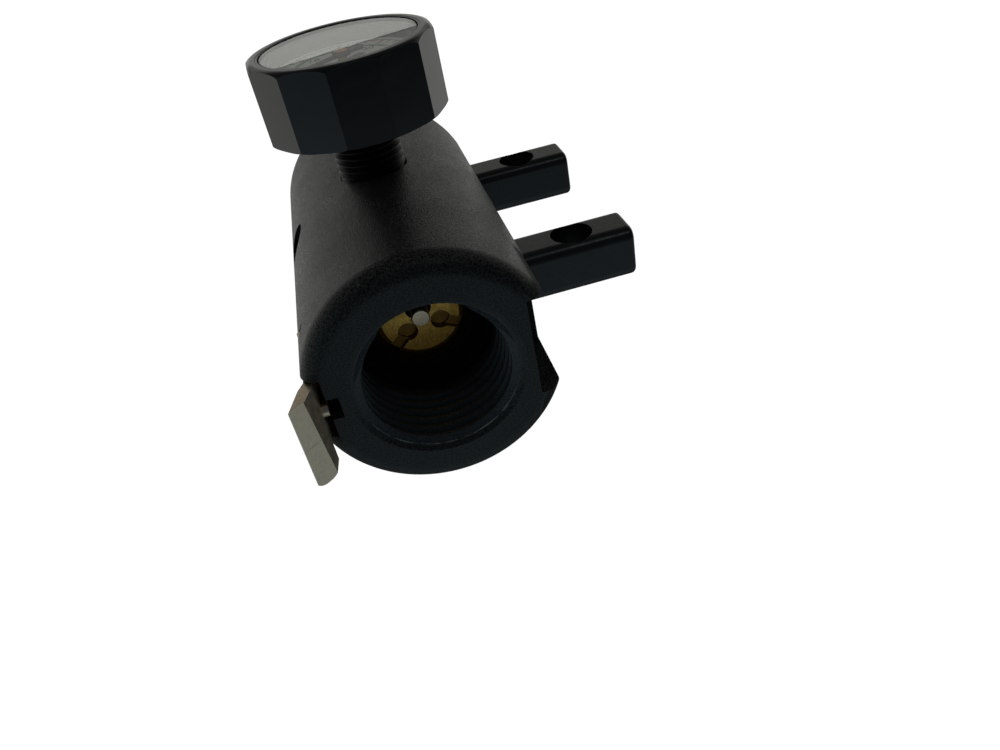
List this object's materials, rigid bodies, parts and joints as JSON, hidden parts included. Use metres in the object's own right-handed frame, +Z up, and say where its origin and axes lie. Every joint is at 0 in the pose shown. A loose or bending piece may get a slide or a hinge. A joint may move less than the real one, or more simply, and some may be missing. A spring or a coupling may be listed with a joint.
{
  "type": "bottle valve body with pressure gauge",
  "caption": "Cylindrical gas bottle valve body with a threaded port, pin insert, pressure gauge, flank port, sprung latch and two square mounting lugs.",
  "frame": {"origin": "centre of the bottle port's mouth, on the body's flat front face", "axes": "+Y runs into the body along the port's axis, +Z is up towards the gauge, +X runs out along the two lugs"},
  "size_m": [0.0506, 0.0683, 0.0507],
  "materials": {
    "body_black": "matt bead-blasted black anodising",
    "lug_black": "satin black",
    "gauge_black": "gloss black",
    "brass": "machined, bright",
    "steel": "brushed stainless",
    "dark_steel": "blackened spring steel",
    "aluminium": "machined",
    "sintered_bronze": "sintered, porous",
    "rubber": "smooth black rubber",
    "seat_plastic": "smooth, off-white",
    "dial_white": "matt white print",
    "needle_black": "matt black",
    "glass": "clear, polished"
  },
  "bodies": {
    "valve": {"valve_body": "body_black", "rear_cap": "body_black", "side_port_plug": "dark_steel", "side_port_seal": "rubber", "pin_insert": "brass", "depressor_pin": "steel", "insert_seal": "rubber", "inlet_filter": "sintered_bronze", "seat_carrier": "brass", "valve_seat": "seat_plastic", "disc_springs": "dark_steel", "rear_cap_seal": "rubber", "front_lug": "lug_black", "rear_lug": "lug_black", "latch_pin": "steel", "latch_spring": "steel", "gauge_case": "gauge_black", "bezel_ring": "gauge_black", "lens_gasket": "rubber", "gauge_lens": "glass", "gauge_dial": "dial_white", "gauge_stem": "gauge_black", "stem_screws": "steel", "bourdon_tube": "brass", "movement_plate": "brass", "movement_posts": "brass"},
    "latch": {"latch_lever": "steel"},
    "piston": {"regulator_piston": "aluminium", "piston_seal": "rubber"},
    "needle": {"gauge_needle": "needle_black", "pinion": "brass"},
    "sector": {"sector_gear": "brass", "tip_link": "brass"}
  },
  "joints": [
    {"name": "latch_hinge", "type": "hinge", "parent": "valve", "child": "latch", "pos_m": [-0.0151, 0.008, 0], "axis": [0, 0, -1], "range_deg": [0, 45], "stiffness_Nm_per_rad": 0.002, "springref_deg": -11.46},
    {"name": "piston_slide", "type": "slide", "parent": "valve", "child": "piston", "axis": [0, -1, 0], "range_m": [0, 0.0008], "stiffness_N_per_m": 60000, "springref_m": -0.0004, "deforming": ["disc_springs"]},
    {"name": "needle_turn", "type": "hinge", "parent": "valve", "child": "needle", "pos_m": [-0.0007, 0.0325, 0], "axis": [0, 0, -1], "range_deg": [0, 270]},
    {"name": "sector_turn", "type": "hinge", "parent": "valve", "child": "sector", "pos_m": [-0.00594, 0.03553, 0], "axis": [0, 0, -1], "range_deg": [-38.57, 0]}
  ],
  "couplings": [
    {"joint": "needle_turn", "follows": "sector_turn", "ratio": -7}
  ]
}
